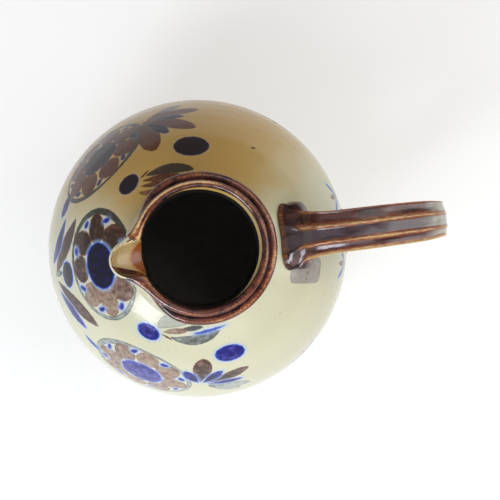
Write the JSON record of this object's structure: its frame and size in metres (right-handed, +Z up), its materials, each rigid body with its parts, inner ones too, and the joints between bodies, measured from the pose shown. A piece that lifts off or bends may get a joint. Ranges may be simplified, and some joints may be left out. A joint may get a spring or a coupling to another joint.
{
  "type": "pottery jug",
  "caption": "Round-bodied glazed stoneware jug with a ridged rim, a pulled pouring spout and a ridged strap handle opposite the spout.",
  "frame": {"origin": "centre of the underside of the flat foot, on the upright axis of the thrown body", "axes": "+Z up along the body's axis, +X towards the strap handle, -X towards the spout, Y across"},
  "size_m": [0.2156, 0.17, 0.178],
  "materials": {
    "cream_glaze": "glossy",
    "iron_glaze": "glossy"
  },
  "bodies": {
    "root": {"thrown_body": "cream_glaze", "neck_and_spout": "iron_glaze", "strap_handle": "iron_glaze", "upper_handle_pad": "iron_glaze", "lower_handle_pad": "iron_glaze"}
  },
  "joints": []
}
